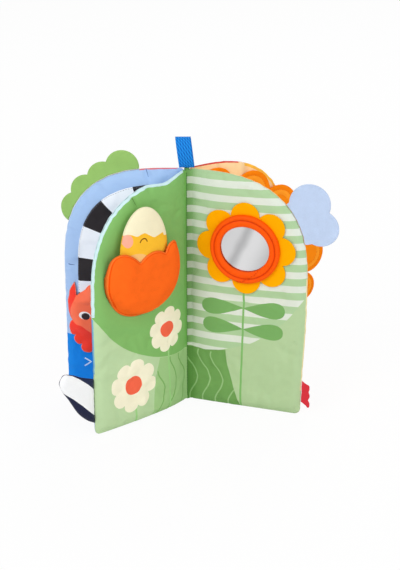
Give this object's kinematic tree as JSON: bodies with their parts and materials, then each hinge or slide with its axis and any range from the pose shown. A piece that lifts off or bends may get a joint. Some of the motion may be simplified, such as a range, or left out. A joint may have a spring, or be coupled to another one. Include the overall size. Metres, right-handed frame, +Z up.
{
  "type": "baby soft book",
  "caption": "Free-standing padded cloth book for a baby: stuffed leaves fan out round one spine, with a mirror flower, a tulip pocket with an egg toy, felt tabs and a carrying loop.",
  "frame": {"origin": "foot of the spine, on the surface that the book stands on, at the axis that all four leaves turn about", "axes": "+Z up along the spine, -Y towards the reader of the middle spread, +X to that reader's right"},
  "size_m": [0.2183, 0.161, 0.225],
  "materials": {
    "striped_cloth": "woven polyester, green and white stripes",
    "yellow_cloth": "woven polyester, pale yellow",
    "wadding": "fibre filling, matt",
    "crinkle_film": "thin crackling film",
    "golden_felt": "smooth felt",
    "orange_satin": "padded satin with a stitched groove",
    "mirror_film": "soft mirror film",
    "blue_felt": "felt",
    "red_cloth": "woven polyester, red",
    "green_cloth": "woven polyester, printed greens",
    "sea_cloth": "woven polyester, printed blues",
    "tulip_cloth": "quilted plush, orange",
    "cream_cloth": "short plush, cream over yellow",
    "yolk_cloth": "short plush, yellow",
    "navy_cloth": "satin, navy",
    "white_cloth": "satin, white with navy",
    "sky_cloth": "woven polyester, light blue",
    "band_satin": "satin, black and white stripes",
    "fish_satin": "padded satin, red",
    "green_felt": "felt",
    "peach_cloth": "woven polyester, peach",
    "petal_felt": "smooth felt with stitched arcs",
    "flower_middle_cloth": "padded woven cloth",
    "blue_webbing": "twill webbing"
  },
  "bodies": {
    "striped_leaf": {"spine_binding": "red_cloth", "spine_ribbon_loop": "blue_webbing", "striped_page_panel": "striped_cloth", "garden_page_panel": "yellow_cloth", "striped_leaf_wadding": "wadding", "striped_leaf_crinkle_film": "crinkle_film", "flower_petals": "golden_felt", "mirror_film": "mirror_film", "mirror_ring": "orange_satin", "cloud_tab": "blue_felt", "edge_label": "red_cloth"},
    "green_leaf": {"green_page_panel": "green_cloth", "sea_page_panel": "sea_cloth", "green_leaf_wadding": "wadding", "green_leaf_crinkle_film": "crinkle_film", "tulip_pocket": "tulip_cloth", "tail_tab_front": "white_cloth", "tail_tab_back": "navy_cloth", "tail_tab_filling": "wadding"},
    "egg_toy": {"egg_toy_front": "cream_cloth", "egg_toy_back": "yolk_cloth", "egg_toy_filling": "wadding"},
    "left_cover": {"left_cover_inner_panel": "sky_cloth", "left_cover_outer_panel": "red_cloth", "left_cover_wadding": "wadding", "striped_band": "band_satin", "fish_applique": "fish_satin", "bush_tab": "green_felt"},
    "right_cover": {"right_cover_inner_panel": "peach_cloth", "right_cover_outer_panel": "red_cloth", "right_cover_wadding": "wadding", "big_flower_petals": "petal_felt", "big_flower_centre": "flower_middle_cloth"}
  },
  "joints": [
    {"name": "middle_spread", "type": "hinge", "parent": "striped_leaf", "child": "green_leaf", "pos_m": [0, 0, 0], "axis": [0, 0, -1], "range_deg": [-61, 56]},
    {"name": "left_spread", "type": "hinge", "parent": "green_leaf", "child": "left_cover", "pos_m": [0, 0, 0], "axis": [0, 0, -1], "range_deg": [-25, 33]},
    {"name": "right_spread", "type": "hinge", "parent": "striped_leaf", "child": "right_cover", "pos_m": [0, 0, 0], "axis": [0, 0, 1], "range_deg": [-27, 26]},
    {"name": "egg_slide", "type": "slide", "parent": "green_leaf", "child": "egg_toy", "axis": [0, 0, 1], "range_m": [0, 0.045]}
  ]
}
